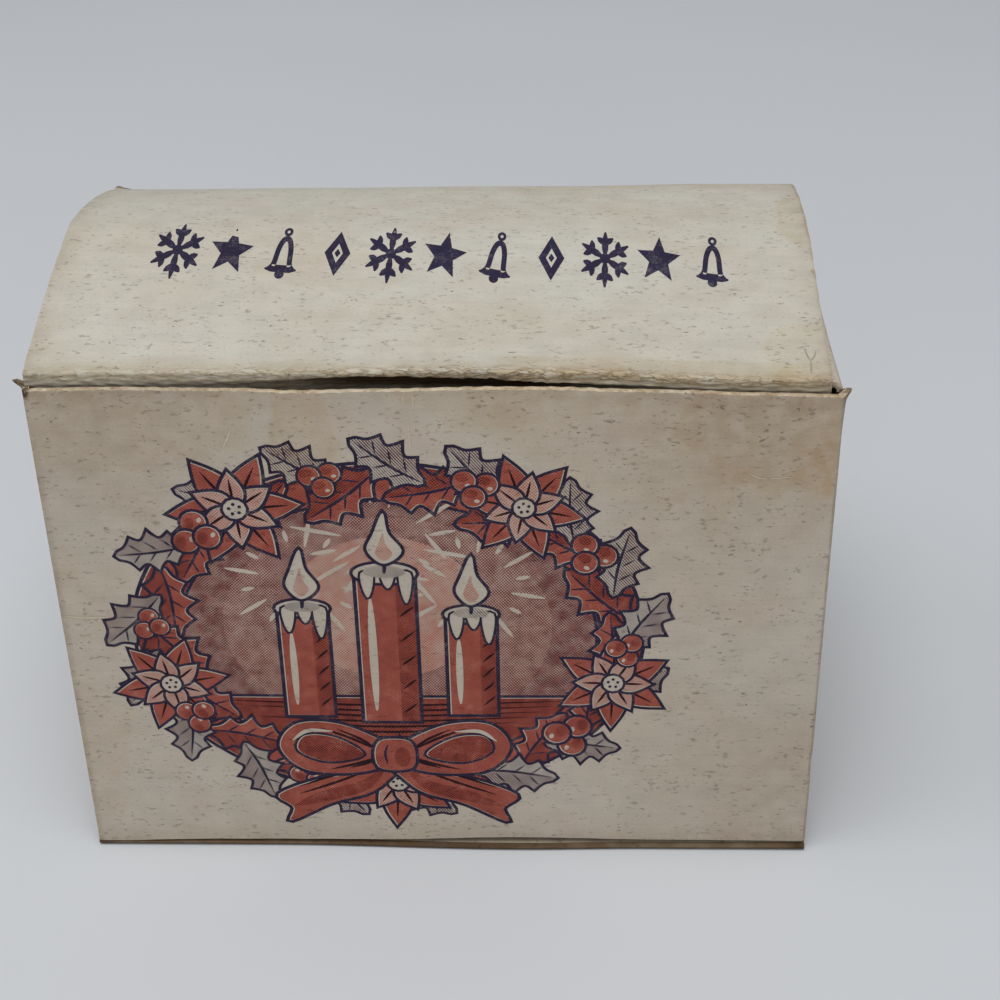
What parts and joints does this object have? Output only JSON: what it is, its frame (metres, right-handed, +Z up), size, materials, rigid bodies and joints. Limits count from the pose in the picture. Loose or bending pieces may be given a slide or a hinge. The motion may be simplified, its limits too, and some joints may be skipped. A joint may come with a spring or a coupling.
{
  "type": "tuck-end folding carton",
  "caption": "Small printed tuck-end folding carton of aged recycled board, with hinged top and bottom lids, tuck flaps and dust flaps",
  "frame": {"origin": "middle of the carton on the surface that it stands on", "axes": "+X right along the printed front panel, +Y from the front panel to the hinged back panel, +Z up"},
  "size_m": [0.076, 0.0456, 0.0623],
  "materials": {
    "sleeve_board": "matt uncoated recycled board, printed in two inks",
    "lid_board": "matt uncoated recycled board, faded, with one ink",
    "base_board": "matt uncoated recycled board, bare"
  },
  "bodies": {
    "sleeve": {"carton_sleeve": "sleeve_board"},
    "top_lid": {"top_lid": "lid_board"},
    "bottom_lid": {"bottom_lid": "base_board"}
  },
  "joints": [
    {"name": "top_lid_hinge", "type": "hinge", "parent": "sleeve", "child": "top_lid", "pos_m": [0, 0.02285, 0.0564], "axis": [-1, 0, 0], "range_deg": [0, 135]},
    {"name": "bottom_lid_hinge", "type": "hinge", "parent": "sleeve", "child": "bottom_lid", "pos_m": [0, 0.02285, 0], "axis": [1, 0, 0], "range_deg": [0, 135]}
  ]
}
